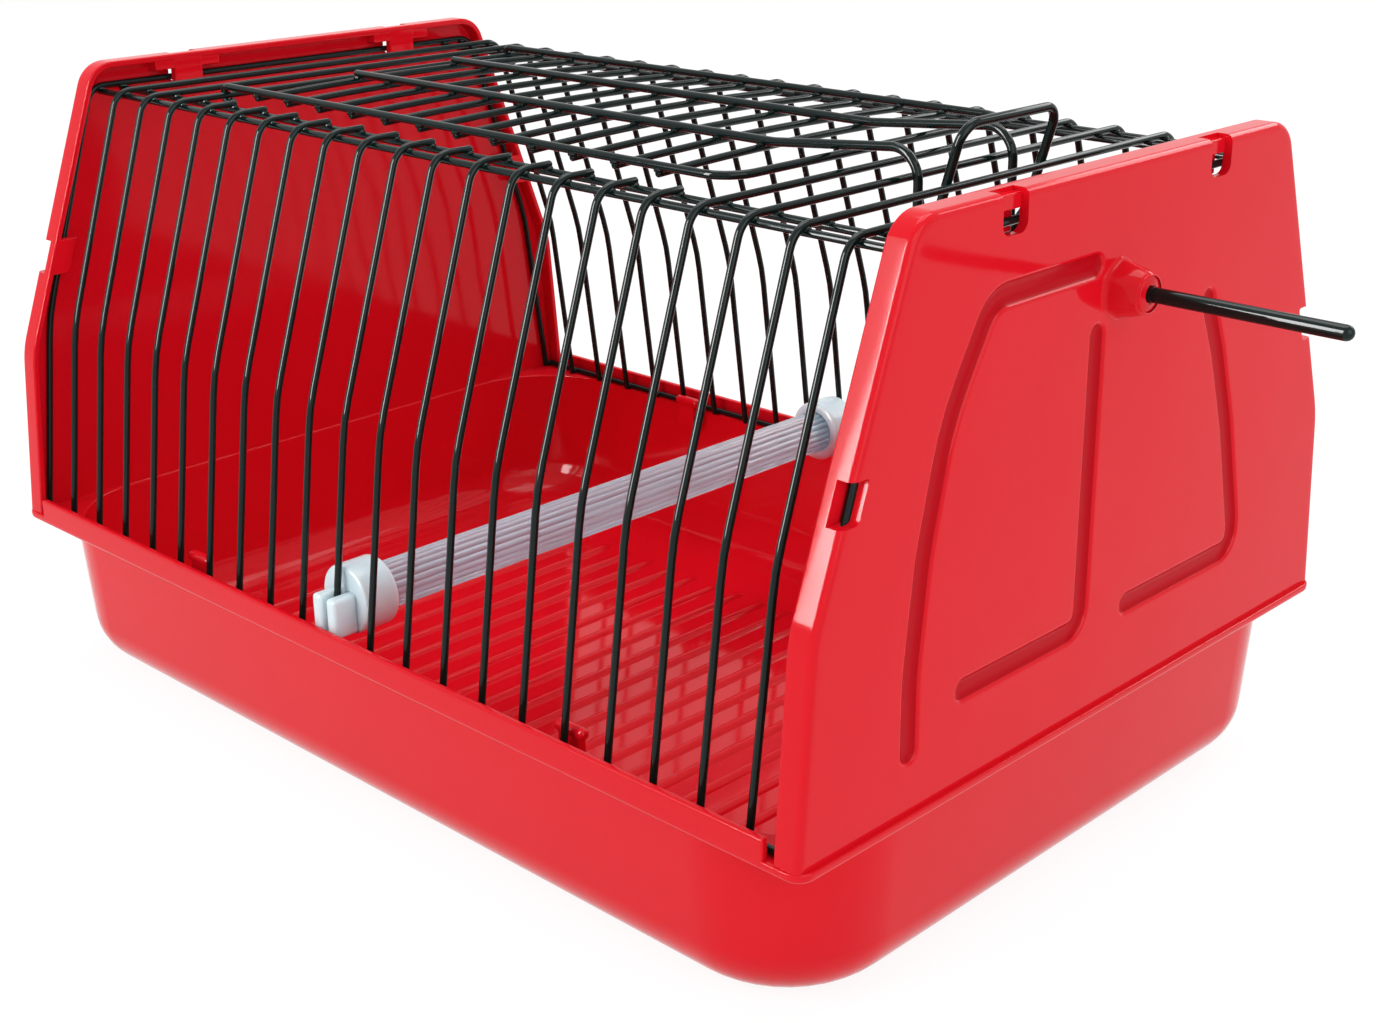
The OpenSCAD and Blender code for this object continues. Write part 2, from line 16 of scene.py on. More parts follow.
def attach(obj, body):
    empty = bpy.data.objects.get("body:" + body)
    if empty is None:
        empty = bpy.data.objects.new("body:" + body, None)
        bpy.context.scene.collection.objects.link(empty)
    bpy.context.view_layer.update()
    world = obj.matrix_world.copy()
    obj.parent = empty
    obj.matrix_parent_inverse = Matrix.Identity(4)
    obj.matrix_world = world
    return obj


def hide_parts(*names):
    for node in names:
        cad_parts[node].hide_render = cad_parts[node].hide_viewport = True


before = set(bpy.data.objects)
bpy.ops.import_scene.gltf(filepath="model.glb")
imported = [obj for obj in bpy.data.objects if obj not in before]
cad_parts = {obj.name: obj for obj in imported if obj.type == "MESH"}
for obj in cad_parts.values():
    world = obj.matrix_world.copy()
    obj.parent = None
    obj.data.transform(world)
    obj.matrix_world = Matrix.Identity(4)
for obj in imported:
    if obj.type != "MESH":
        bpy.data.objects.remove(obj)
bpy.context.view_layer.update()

# ---- The photographer's camera ----
# A short telephoto lens at the front right, a little above the roof. Its place, angles and small
# shift were fitted to the wires and panels in the photograph.
photo_w, photo_h = 1384, 1023
lens_px = 1989.4
lens_axis_px = (717.8, 496.3)
sensor_mm = 36.0
azimuth, pitch, roll = (math.radians(angle) for angle in (43.69, 20.47, 0.37))
camera_place = Vector((0.37344, -0.35799, 0.25042))

look = Vector((-math.sin(azimuth) * math.cos(pitch), math.cos(azimuth) * math.cos(pitch), -math.sin(pitch)))
level_right = Vector((math.cos(azimuth), math.sin(azimuth), 0))
level_down = look.cross(level_right)
right = math.cos(roll) * level_right + math.sin(roll) * level_down
down = math.cos(roll) * level_down - math.sin(roll) * level_right

camera_data = bpy.data.cameras.new("photo_camera")
camera_data.sensor_width = sensor_mm
camera_data.lens = lens_px / photo_w * sensor_mm
camera_data.shift_x = (photo_w / 2 - lens_axis_px[0]) / photo_w
camera_data.shift_y = (lens_axis_px[1] - photo_h / 2) / photo_w
camera_data.clip_start, camera_data.clip_end = 0.01, 50
camera = bpy.data.objects.new("photo_camera", camera_data)
camera.matrix_world = Matrix.Translation(camera_place) @ Matrix((right, -down, -look)).transposed().to_4x4()
bpy.context.scene.collection.objects.link(camera)
bpy.context.scene.camera = camera

# ---- White studio ----
# A seamless white floor that keeps a faint shadow, and a white backdrop. The lens, the gloss and
# the clear perch all see both, and soft boxes light the carrier.
floor_half = 6.0
floor_grey = 0.86
floor_white, floor_glow = 0.8, 1.12     # the share of plain white on the floor, and its strength
surround_light = 0.36

floor_mesh = bpy.data.meshes.new("studio_floor")
floor_corners = [(x * floor_half, y * floor_half, 0) for x, y in ((-1, -1), (1, -1), (1, 1), (-1, 1))]
floor_mesh.from_pydata(floor_corners, [], [(0, 1, 2, 3)])
studio_floor = bpy.data.objects.new("studio_floor", floor_mesh)
bpy.context.scene.collection.objects.link(studio_floor)


def maths(nodes, links, kind, *values):
    """One Math node over plain numbers and other nodes' outputs."""
    node = nodes.new("ShaderNodeMath")
    node.operation = kind
    for socket, value in zip(node.inputs, values):
        if isinstance(value, (int, float)):
            socket.default_value = value
        else:
            links.new(value, socket)
    return node.outputs[0]


def seeing_ray(nodes, links, path):
    """1 on rays from the lens, a reflection or a clear piece, which all see the white background."""
    lens, clear_piece = path.outputs["Is Camera Ray"], path.outputs["Is Transmission Ray"]
    gloss = path.outputs["Is Glossy Ray"]
    return maths(nodes, links, "MAXIMUM", maths(nodes, links, "MAXIMUM", lens, clear_piece), gloss)


floor_paper = bpy.data.materials.new("floor_paper")
floor_paper.use_nodes = True
nodes, links = floor_paper.node_tree.nodes, floor_paper.node_tree.links
nodes.clear()
path = nodes.new("ShaderNodeLightPath")
paper, white = nodes.new("ShaderNodeBsdfDiffuse"), nodes.new("ShaderNodeEmission")
paper.inputs["Color"].default_value = (floor_grey, floor_grey, floor_grey, 1)
white.inputs["Strength"].default_value = floor_glow
lit, one_sided = nodes.new("ShaderNodeMixShader"), nodes.new("ShaderNodeMixShader")
links.new(maths(nodes, links, "MULTIPLY", seeing_ray(nodes, links, path), floor_white), lit.inputs["Fac"])
links.new(paper.outputs[0], lit.inputs[1])
links.new(white.outputs[0], lit.inputs[2])
from_below, clear = nodes.new("ShaderNodeNewGeometry"), nodes.new("ShaderNodeBsdfTransparent")
links.new(from_below.outputs["Backfacing"], one_sided.inputs["Fac"])
links.new(lit.outputs[0], one_sided.inputs[1])
links.new(clear.outputs[0], one_sided.inputs[2])
floor_out = nodes.new("ShaderNodeOutputMaterial")
links.new(one_sided.outputs[0], floor_out.inputs["Surface"])
floor_mesh.materials.append(floor_paper)

world = bpy.data.worlds.new("studio")
world.use_nodes = True
nodes, links = world.node_tree.nodes, world.node_tree.links
nodes.clear()
path = nodes.new("ShaderNodeLightPath")
surround, backdrop = nodes.new("ShaderNodeBackground"), nodes.new("ShaderNodeBackground")
surround.inputs["Strength"].default_value = surround_light
surround.inputs["Color"].default_value = backdrop.inputs["Color"].default_value = (1, 1, 1, 1)
mix = nodes.new("ShaderNodeMixShader")
links.new(seeing_ray(nodes, links, path), mix.inputs["Fac"])
links.new(surround.outputs[0], mix.inputs[1])
links.new(backdrop.outputs[0], mix.inputs[2])
world_out = nodes.new("ShaderNodeOutputWorld")
links.new(mix.outputs[0], world_out.inputs["Surface"])
bpy.context.scene.world = world
bpy.context.scene.view_settings.view_transform = "Standard"


def soft_box(name, place, aim, size, watts, gloss_only=False):
    """A rectangular lamp; one for gloss only draws highlights and doesn't light the colours."""
    lamp = bpy.data.lights.new(name, "AREA")
    lamp.shape = "RECTANGLE"
    lamp.size, lamp.size_y = size
    lamp.energy = watts
    box = bpy.data.objects.new(name, lamp)
    box.location = place
    box.rotation_mode = "QUATERNION"
    box.rotation_quaternion = (Vector(aim) - Vector(place)).to_track_quat("-Z", "Y")
    box.visible_camera = False
    box.visible_diffuse = not gloss_only
    bpy.context.scene.collection.objects.link(box)


carrier_middle = (0, 0, 0.1)
soft_box("overhead_box", (-0.15, 0.35, 1.5), carrier_middle, (1.1, 0.9), 11)
soft_box("front_box", (-0.6, -1.4, 0.8), carrier_middle, (1.0, 0.9), 13)
soft_box("side_box", (1.7, -0.4, 0.9), carrier_middle, (1.6, 1.6), 15)
soft_box("rear_box", (0.3, 1.6, 1.1), carrier_middle, (1.2, 0.4), 8)
soft_box("gloss_strip", (-0.02, -0.37, 0.27), (0, 0, 0.27), (0.11, 0.28), 3.0, gloss_only=True)

# ---- Tray ----
# The tub that everything stands in: one thick-walled moulding in glossy red polystyrene, with a
# ledge for the hood, a raised rim along the front and rear, a ribbed floor and four snap lugs.
MM = 0.001
tray_h, tray_wall = 44.0, 2.2
ledge_half_x, ledge_half_y, ledge_corner_r = 151.5, 102.95, 4.5
ledge_t, ledge_out = 2.5, 2.0
tub_half_x, tub_half_y = ledge_half_x - ledge_out, ledge_half_y - ledge_out
tub_corner_r, tub_edge_r = 32.0, 14.0
draft = math.tan(math.radians(4))
rim_end_x, rim_t, rim_h = 141.2, 2.0, 5.0
rib_pitch, rib_h, rib_half_w, rib_field_x, rib_field_y = 10.0, 1.2, 2.0, 120, 64.0
lug_xs, lug_y, lug_rise, lug_l, lug_r = (-72, 76), 94.13, 3.5, 10.0, 1.5
bracket_half_w, bracket_half_t, bracket_sunk, bracket_edge_r = 3.5, 1.05, 5, 0.3
shelf_y0, shelf_y1, shelf_drop = 93.1, 99.8, 0.6
rim_edge = 0.6
overlap = 0.02                          # how far a fitting sinks into the wall that carries it
crease_deg = 32                         # a steeper edge than this stays crisp


def merged(shells):
    """Several (points, faces) shells as one."""
    points, faces, start = [], [], 0
    for shell_points, shell_faces in shells:
        points.append(np.asarray(shell_points, float))
        faces += [tuple(start + i for i in face) for face in shell_faces]
        start += len(shell_points)
    return np.vstack(points), faces


def loft(rings, capped=True, closed=False):
    """A skin over rings of points, with flat ends, or closed into a loop."""
    count, around = len(rings), len(rings[0])
    faces = []
    for i in range(count if closed else count - 1):
        a, b = i * around, (i + 1) % count * around
        faces += [(a + k, a + (k + 1) % around, b + (k + 1) % around, b + k) for k in range(around)]
    if capped and not closed:
        faces.append(tuple(range(around)))
        faces.append(tuple(range((count - 1) * around, count * around)))
    return np.vstack(rings), faces


def rounded_block(low, high, edge_r, steps=3):
    """A block with every edge rounded."""
    form = bmesh.new()
    bmesh.ops.create_cube(form, size=1)
    low, high = Vector(low), Vector(high)
    for vert in form.verts:
        vert.co = Vector(low[i] + (vert.co[i] + 0.5) * (high[i] - low[i]) for i in range(3))
    bmesh.ops.bevel(form, geom=form.edges[:], offset=edge_r, segments=steps, profile=0.5, affect="EDGES")
    form.verts.index_update()
    shell = [tuple(v.co) for v in form.verts], [tuple(v.index for v in f.verts) for f in form.faces]
    form.free()
    return shell


def make_mesh(name, shells, crease=crease_deg):
    """A mesh object in metres from shells in millimetres, smooth except at creases."""
    points, faces = merged(shells)
    mesh = bpy.data.meshes.new(name)
    mesh.from_pydata((points * MM).tolist(), [], faces)
    form = bmesh.new()
    form.from_mesh(mesh)
    bmesh.ops.recalc_face_normals(form, faces=form.faces)
    form.to_mesh(mesh)
    form.free()
    mesh.shade_smooth()
    mesh.set_sharp_from_angle(angle=math.radians(crease))
    piece = bpy.data.objects.new(name, mesh)
    bpy.context.scene.collection.objects.link(piece)
    return piece


def settle(piece, material, body, node, flat_faces=True):
    """Finishes a piece, which rides on its body and stands for its CAD node. A piece that has its
    materials already keeps them."""
    if not piece.data.materials:
        piece.data.materials.append(material)
    if flat_faces:
        shading = piece.modifiers.new("flat_faces_first", "WEIGHTED_NORMAL")
        shading.keep_sharp = True
    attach(piece, body)
    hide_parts(node)
    return piece


def quarter(steps):
    """Steps of a rounded edge, as (1 - cos, 1 - sin) along a quarter turn."""
    return [(1 - math.cos(a), 1 - math.sin(a)) for a in np.linspace(0, math.pi / 2, steps + 1)]


def rounded_ring(half_x, half_y, corner_r, z, steps=10):
    """A level rectangle with rounded corners."""
    ring = []
    for turn, (side_x, side_y) in enumerate(((1, 1), (-1, 1), (-1, -1), (1, -1))):
        for k in range(steps + 1):
            angle = math.radians(90 * (turn + k / steps))
            ring.append((side_x * (half_x - corner_r) + corner_r * math.cos(angle),
                         side_y * (half_y - corner_r) + corner_r * math.sin(angle), z))
    return np.array(ring)


def tub_ring(z, inset, wall=0.0):
    """The tub's outline at a height, drawn in by its draft, an inset and the wall."""
    inset += wall + draft * (tray_h - z)
    return rounded_ring(tub_half_x - inset, tub_half_y - inset, tub_corner_r - inset, z)


def ledge_ring(z, inset):
    return rounded_ring(ledge_half_x - inset, ledge_half_y - inset, ledge_corner_r - inset, z)


def tub_skin():
    """The tub with its ledge, from the raised underside over the outside and down into the floor."""
    underside_in, underside_z, top_edge, low_edge, opening_r = 7.0, 0.5, 0.4, 1.4, 0.6
    inner_edge_r = tub_edge_r - tray_wall
    soft_step = ((1.0, 0.6), (0.8, 0.25), (0.2, -0.25), (0.0, -0.6))
    rings = [tub_ring(underside_z * share, tub_edge_r + underside_in + further_in)
             for share, further_in in soft_step]
    rings += [tub_ring(tub_edge_r * up, tub_edge_r * inward) for up, inward in quarter(12)]
    ledge_low = tray_h - ledge_t
    rings.append(tub_ring(ledge_low, 0))
    rings += [ledge_ring(ledge_low + low_edge * up, low_edge * inward) for up, inward in quarter(5)]
    rings += [ledge_ring(tray_h - top_edge * up, top_edge * inward) for up, inward in reversed(quarter(4))]
    rings += [tub_ring(tray_h - opening_r * inward, -opening_r * up, tray_wall)
              for up, inward in reversed(quarter(3))]
    rings += [tub_ring(tray_wall + inner_edge_r * up, inner_edge_r * inward, tray_wall)
              for up, inward in reversed(quarter(10))]
    return loft(rings)


def floor_rib(x):
    """A low round-backed rib that fades out at both ends."""
    fade, root, across = 4.0, 0.6, np.linspace(-1, 1, 9)
    stations = [(rib_field_y - fade * up, 1 - inward) for up, inward in quarter(4)]
    stations = [(-y, rise) for y, rise in stations] + stations[::-1]
    rings = []
    for y, rise in stations:
        back = [(x + rib_half_w * u, y, tray_wall - overlap + rib_h * rise * (1 - u * u)) for u in across]
        foot = [(x + rib_half_w * u, y, tray_wall - root) for u in (1, -1)]
        rings.append(np.array(back + foot))
    return loft(rings)


def snap_lug(x, side):
    """A round-ended lug inside the hoops' feet, on a bracket from the tray's wall."""
    y, z, low_z = side * lug_y, tray_h + lug_rise, tray_h - bracket_sunk
    x0, x1, shelf_ys = x - bracket_half_w, x + bracket_half_w, sorted((side * shelf_y0, side * shelf_y1))
    ends = [(-lug_l / 2 + lug_r * up, lug_r * (1 - inward) + overlap) for up, inward in quarter(5)]
    around, rings = np.linspace(0, 2 * math.pi, 16, endpoint=False), []
    for along, r in ends + [(-along, r) for along, r in reversed(ends)]:
        rings.append(np.array([(x + along, y + r * math.cos(a), z + r * math.sin(a)) for a in around]))
    post = rounded_block((x0, y - bracket_half_t, low_z), (x1, y + bracket_half_t, z), bracket_edge_r)
    shelf = rounded_block((x0, shelf_ys[0], low_z), (x1, shelf_ys[1], tray_h - shelf_drop), bracket_edge_r)
    return [loft(rings), post, shelf]


def surface_group(name, colours, numbers):
    """An empty surface group with its sockets. Returns it, its nodes and links, and both its ends."""
    group = bpy.data.node_groups.new(name, "ShaderNodeTree")
    for socket in colours:
        group.interface.new_socket(socket, in_out="INPUT", socket_type="NodeSocketColor")
    for socket in numbers:
        group.interface.new_socket(socket, in_out="INPUT", socket_type="NodeSocketFloat")
    for socket, kind in (("Colour", "Color"), ("Roughness", "Float"), ("Height", "Float")):
        group.interface.new_socket(socket, in_out="OUTPUT", socket_type="NodeSocket" + kind)
    nodes, links = group.nodes, group.links
    return group, nodes, links, nodes.new("NodeGroupInput").outputs, nodes.new("NodeGroupOutput").inputs


def noise(nodes, links, scale, detail, rough=0.5):
    """Noise by place on the object."""
    node = nodes.new("ShaderNodeTexNoise")
    for socket, value in (("Scale", scale), ("Detail", detail), ("Roughness", rough)):
        node.inputs[socket].default_value = value
    links.new(nodes.new("ShaderNodeTexCoord").outputs["Object"], node.inputs["Vector"])
    return node.outputs["Fac"]


def blend_colours(nodes, links, share, first, second, target):
    tone = nodes.new("ShaderNodeMix")
    tone.data_type = "RGBA"
    for value, socket in ((share, "Factor"), (first, "A"), (second, "B")):
        links.new(value, tone.inputs[socket])
    links.new(tone.outputs["Result"], target)


def moulded_surface():
    """Slow colour drift, smears, slight warp and orange peel of a glossy moulding."""
    group, nodes, links, given, made = surface_group(
        "moulded_surface", ("Colour", "Deep Colour"), ("Drift", "Gloss Roughness", "Warp", "Peel"))
    drift = maths(nodes, links, "MULTIPLY", noise(nodes, links, 16, 3), given["Drift"])
    blend_colours(nodes, links, drift, given["Colour"], given["Deep Colour"], made["Colour"])
    uneven = maths(nodes, links, "SUBTRACT", noise(nodes, links, 70, 4, 0.65), 0.45)
    smear = maths(nodes, links, "MULTIPLY", uneven, 0.1)
    links.new(maths(nodes, links, "ADD", given["Gloss Roughness"], smear), made["Roughness"])
    warp = maths(nodes, links, "MULTIPLY", noise(nodes, links, 24, 1), given["Warp"])
    peel = maths(nodes, links, "MULTIPLY", noise(nodes, links, 700, 2), given["Peel"])
    links.new(maths(nodes, links, "ADD", warp, peel), made["Height"])
    return group


def finish_material(name, surface, given, settings):
    """A Principled material over a surface group; settings stay plain numbers on its sockets."""
    material = bpy.data.materials.new(name)
    material.use_nodes = True
    nodes, links = material.node_tree.nodes, material.node_tree.links
    shader = nodes["Principled BSDF"]
    group = nodes.new("ShaderNodeGroup")
    group.node_tree = surface
    for socket, value in given.items():
        group.inputs[socket].default_value = value
    links.new(group.outputs["Colour"], shader.inputs["Base Color"])
    links.new(group.outputs["Roughness"], shader.inputs["Roughness"])
    bump = nodes.new("ShaderNodeBump")
    bump.inputs["Strength"].default_value = 1.0
    bump.inputs["Distance"].default_value = 1.0
    links.new(group.outputs["Height"], bump.inputs["Height"])
    links.new(bump.outputs["Normal"], shader.inputs["Normal"])
    for socket, value in settings.items():
        shader.inputs[socket].default_value = value
    return material


moulding = moulded_surface()
red, deep_red = (0.76, 0.006, 0.016, 1), (0.60, 0.003, 0.010, 1)
tray_red = finish_material("tray_red_gloss", moulding, {
    "Colour": red, "Deep Colour": deep_red, "Drift": 0.35, "Gloss Roughness": 0.07,
    "Warp": 0.00006, "Peel": 0.0000015}, {"IOR": 1.25})

rims = [rounded_block((-rim_end_x, min(y), tray_h - 1), (rim_end_x, max(y), tray_h + rim_h), rim_edge)
        for y in ((ledge_half_y, ledge_half_y - rim_t), (-ledge_half_y, -ledge_half_y + rim_t))]
ribs = [floor_rib(x) for x in np.arange(-rib_field_x, rib_field_x + 1, rib_pitch)]
lugs = [shell for x in lug_xs for side in (-1, 1) for shell in snap_lug(x, side)]
settle(make_mesh("tray_moulding", [tub_skin(), *rims, *ribs, *lugs]), tray_red, "tray", "tray")

# ---- End panels ----
# Two red mouldings from one tool: a flat face with a flange turned in round three sides, shallow
# grooves, and pockets with tabs that trap the end hoop. The right one carries the bolt's boss.
flange_x, panel_inner_x, panel_x = 143.5, 148.0, 150.2
flange_t, rim_edge_r, face_edge_r, inner_edge_r = 1.8, 0.5, 1.7, 0.8
panel_foot_y, panel_knee_y, panel_knee_z, panel_top_z, panel_top_r = 102.3, 98.4, 48.0, 126.0, 9.0
panel_lean, panel_top_y = 0.36657, 69.807
knee_round, edge_band, face_grid = 30.0, 1.2, 6.0
bolt_z, boss_end_x, bore_r = 99.1, 158.2, 1.75
panel_red = finish_material("panel_red_gloss", moulding, {
    "Colour": red, "Deep Colour": deep_red, "Drift": 0.3, "Gloss Roughness": 0.08,
    "Warp": 0.0004, "Peel": 0.0000015}, {"IOR": 1.24})
# The grooves' darker, rougher red is painted shade: it stands in for the shade that falls inside the grooves.
groove_painted_shade = finish_material("panel_red_groove_painted_shade", moulding, {
    "Colour": (0.50, 0.003, 0.010, 1), "Deep Colour": (0.42, 0.002, 0.008, 1), "Drift": 0.3,
    "Gloss Roughness": 0.3, "Warp": 0.0002, "Peel": 0.000002}, {"IOR": 1.15})


def unit(v):
    return v / np.linalg.norm(v)


def bent(corners, radii, steps=None, arc_step=8):
    """The line along corners, each rounded to its radius."""
    corners = [np.array(corner, float) for corner in corners]
    line = [corners[0]]
    for i, radius in enumerate(radii):
        before, corner, after = corners[i:i + 3]
        u, v = unit(corner - before), unit(after - corner)
        turn = math.acos(np.clip(u @ v, -1, 1))
        inward = unit(v - (u @ v) * u)
        start = corner - u * radius * math.tan(turn / 2)
        count = steps[i] if steps else max(2, math.ceil(math.degrees(turn) / arc_step))
        for a in np.linspace(0, turn, count + 1):
            line.append(start + u * radius * math.sin(a) + inward * radius * (1 - math.cos(a)))
    line.append(corners[-1])
    return np.array(line)


def panel_line(inset):
    """The panel's edge drawn in, from the front foot over the top to the rear foot, as (y, z)."""
    shoulder_y = panel_top_y - inset * math.sqrt(1 + panel_lean ** 2) + panel_lean * inset
    half_line = [(panel_foot_y - inset, 0), (panel_knee_y - inset, panel_knee_z),
                 (shoulder_y, panel_top_z - inset)]
    corners = [(-y, z) for y, z in half_line] + half_line[::-1]
    top_r = max(panel_top_r - inset, 2)
    return bent(corners, (knee_round, top_r, top_r, knee_round), steps=(5, 12, 12, 5))


def inside(points, loop):
    """Which 2-D points lie inside a closed loop."""
    x, y = points[:, :1], points[:, 1:]
    x0, y0 = loop[:, 0], loop[:, 1]
    x1, y1 = np.roll(x0, -1), np.roll(y0, -1)
    with np.errstate(divide="ignore", invalid="ignore"):
        crossed = ((y0 > y) != (y1 > y)) & (x < (x1 - x0) * (y - y0) / (y1 - y0) + x0)
    return crossed.sum(1) % 2 == 1


def fill_face(outline, holes, spacing):
    """Triangles between an outline and its holes, with a grid of points between them. Returns the
    grid's points and the triangles, counted along outline, holes and grid in turn."""
    loops = [np.asarray(outline), *map(np.asarray, holes)]
    low, high = loops[0].min(0), loops[0].max(0)
    grid_rows = np.meshgrid(np.arange(low[0], high[0], spacing), np.arange(low[1], high[1], spacing))
    grid = np.stack(grid_rows, -1).reshape(-1, 2)
    keep = inside(grid, loops[0])
    for hole in loops[1:]:
        keep &= ~inside(grid, hole)
    borders = np.vstack(loops)
    away = np.sqrt(((grid[:, None] - borders[None]) ** 2).sum(-1)).min(1)
    grid = grid[keep & (away > spacing * 0.45)]
    points = np.vstack([borders, grid])
    edges, start = [], 0
    for loop in loops:
        edges += [(start + i, start + (i + 1) % len(loop)) for i in range(len(loop))]
        start += len(loop)
    _, _, faces, origin, _, _ = delaunay_2d_cdt([Vector(p) for p in points], edges, [], 0, 1e-7)
    triangles = np.array([[origin[i][0] for i in face] for face in faces])
    centres = points[triangles].mean(1)
    keep = inside(centres, loops[0])
    for hole in loops[1:]:
        keep &= ~inside(centres, hole)
    return grid, triangles[keep]


# Each groove's corners on the panel's face, as (y, z), and the radii of its bends; then its section, as
# distances from the middle line with their depths, and the step from which its walls get the darker red of
# painted shade.
groove_routes = (
    (((-9, 105.5), (-45, 105.5), (-58.5, 83), (-65, 56), (-68, 31), (-68, 14)), (9, 60, 60, 60)),
    (((-7, 90), (-7, 22), (-50, 22)), (5,)),
    (((38.6, 89), (45, 75), (51.5, 56), (58.4, 29), (58.4, 22), (12, 22)), (60, 60, 12, 5)),
)
groove_section = ((3.3, 0.0), (3.05, 0.04), (2.75, 0.2), (2.45, 0.5), (2.1, 0.85), (1.5, 1.15), (0.6, 1.3))
groove_shade_from = 4


def groove_loops(corners, radii):
    """Closed loops round a groove's middle line at each distance of its section."""
    line = bent(corners, radii)
    along = np.gradient(line, axis=0)
    along /= np.linalg.norm(along, axis=1)[:, None]
    across = np.stack([-along[:, 1], along[:, 0]], 1)
    turns = np.linspace(0, math.pi, 9)[1:-1]
    loops = []
    for distance, depth in groove_section:
        cap_end, cap_start = ([end + way * distance * (math.cos(a) * across[i] + math.sin(a) * along[i])
                               for a in turns] for i, end, way in ((-1, line[-1], 1), (0, line[0], -1)))
        there, back = line + distance * across, (line - distance * across)[::-1]
        loops.append((np.vstack([there, cap_end, back, cap_start]), depth))
    return loops


def panel_shell():
    """The closed moulding of one panel without its pockets, facing +X, and the faces deep in its grooves that
    take the painted shade.
    """
    outer = [(flange_x + rim_edge_r * up, rim_edge_r * inward) for up, inward in quarter(3)]
    outer += [(panel_x - face_edge_r * up, face_edge_r * inward) for up, inward in reversed(quarter(5))]
    outer.append((panel_x, face_edge_r + edge_band))
    inner = [(flange_x + rim_edge_r * up, flange_t - rim_edge_r * inward) for up, inward in quarter(3)]
    inner += [(panel_inner_x - inner_edge_r * up, flange_t + inner_edge_r * inward)
              for up, inward in reversed(quarter(5))]
    inner.append((panel_inner_x, flange_t + inner_edge_r + edge_band))
    points, faces, groove_shade_faces = [], [], []

    def add(new_points):
        start = len(points)
        points.extend(map(tuple, new_points))
        return list(range(start, len(points)))

    def bridge(a, b):
        faces.extend((a[i], a[i + 1], b[i + 1], b[i]) for i in range(len(a) - 1))

    skins, feet = [], []
    for profile, holes in ((outer, [groove_loops(*route) for route in groove_routes]), (inner, [])):
        rings = [add([(x, y, z) for y, z in panel_line(inset)]) for x, inset in profile]
        for a, b in zip(rings, rings[1:]):
            bridge(a, b)
        face_at = profile[-1][0]
        rear, front = points[rings[-1][-1]], points[rings[-1][0]]
        foot = add([(face_at, y, 0) for y in np.linspace(rear[1], front[1], 30)[1:-1]])
        feet.append([ring[-1] for ring in rings] + foot + [ring[0] for ring in reversed(rings)])
        border = rings[-1] + foot
        hole_ids = []
        for loops in holes:
            ids = [add([(face_at - depth, y, z) for y, z in loop]) for loop, depth in loops]
            for a, b in zip(ids, ids[1:]):
                # From this step inward, the groove's walls and bottom get the painted shade material.
                if b is ids[groove_shade_from]:
                    start = len(faces)
                bridge(a + a[:1], b + b[:1])
            faces.append(tuple(ids[-1]))
            groove_shade_faces += range(start, len(faces))
            hole_ids.append(ids[0])
        flat = np.array(points)[:, 1:]
        grid, triangles = fill_face(flat[border], [flat[ids] for ids in hole_ids], face_grid)
        inner_ids = add([(face_at, y, z) for y, z in grid])
        lookup = np.array(border + [i for ids in hole_ids for i in ids] + inner_ids)
        faces.extend(tuple(lookup[t]) for t in triangles)
        skins.append(rings)
    bridge(skins[0][0], skins[1][0])
    bridge(feet[0], feet[1])
    return (np.array(points), faces), groove_shade_faces


hood_foot_y, hood_knee_y, hood_knee_z, hood_roof_y, hood_roof_z = 97.7, 90.2, 56.0, 69.3, 119.2
wire_r, hoop_pitch, last_hoop = 0.9, 14.0, 21


def hood_y(z):
    """Half width of the wire hood at a height over the ledge."""
    if z < hood_knee_z:
        return hood_foot_y - (hood_foot_y - hood_knee_y) * z / hood_knee_z
    return hood_knee_y - (hood_knee_y - hood_roof_y) * (z - hood_knee_z) / (hood_roof_z - hood_knee_z)


def cut(piece, cutters):
    """Takes the cutting shells out of a piece."""
    tool = make_mesh("cutter", cutters)
    carve = piece.modifiers.new("carve", "BOOLEAN")
    carve.operation, carve.solver, carve.object = "DIFFERENCE", "EXACT", tool
    carve.use_self = True
    shaped = piece.evaluated_get(bpy.context.evaluated_depsgraph_get())
    piece.data = bpy.data.meshes.new_from_object(shaped)
    piece.modifiers.clear()
    piece.data.shade_smooth()
    piece.data.set_sharp_from_angle(angle=math.radians(crease_deg))
    bpy.data.objects.remove(tool)


def cylinder(start, end, radius, sides=32):
    """A plain cutter along X."""
    around = np.linspace(0, 2 * math.pi, sides, endpoint=False)
    return loft([np.array([(x, start[1] + radius * math.cos(a), start[2] + radius * math.sin(a))
                           for a in around]) for x in (start[0], end[0])])


pocket_x, tab_end_x, pocket_depth = 146.1, 146.0, 4.8
side_pocket_z, side_pocket_h, side_pocket_r = 69.2, 8.8, 0.9
top_pocket_y, top_pocket_w, top_pocket_z, top_pocket_r = 39.0, 8.4, 117.3, 2.4


def panel_y(z):
    """Half width of the panel at a height over its knee."""
    return panel_knee_y - panel_lean * (z - panel_knee_z)


def block_along_x(x0, x1, y0, y1, z0, z1, corner_r):
    """A straight block with its four long edges rounded."""
    ring = rounded_ring((y1 - y0) / 2, (z1 - z0) / 2, corner_r, 0, steps=6)
    mid_y, mid_z = (y0 + y1) / 2, (z0 + z1) / 2
    return loft([np.array([(x, mid_y + y, mid_z + z) for y, z, _ in ring]) for x in (x0, x1)])


def leaned(shell, side, z0):
    """A shell sheared in y to follow the panel's leaning flank from height z0."""
    points = np.array(shell[0], float)
    points[:, 1] -= side * panel_lean * (points[:, 2] - z0)
    return points, shell[1]


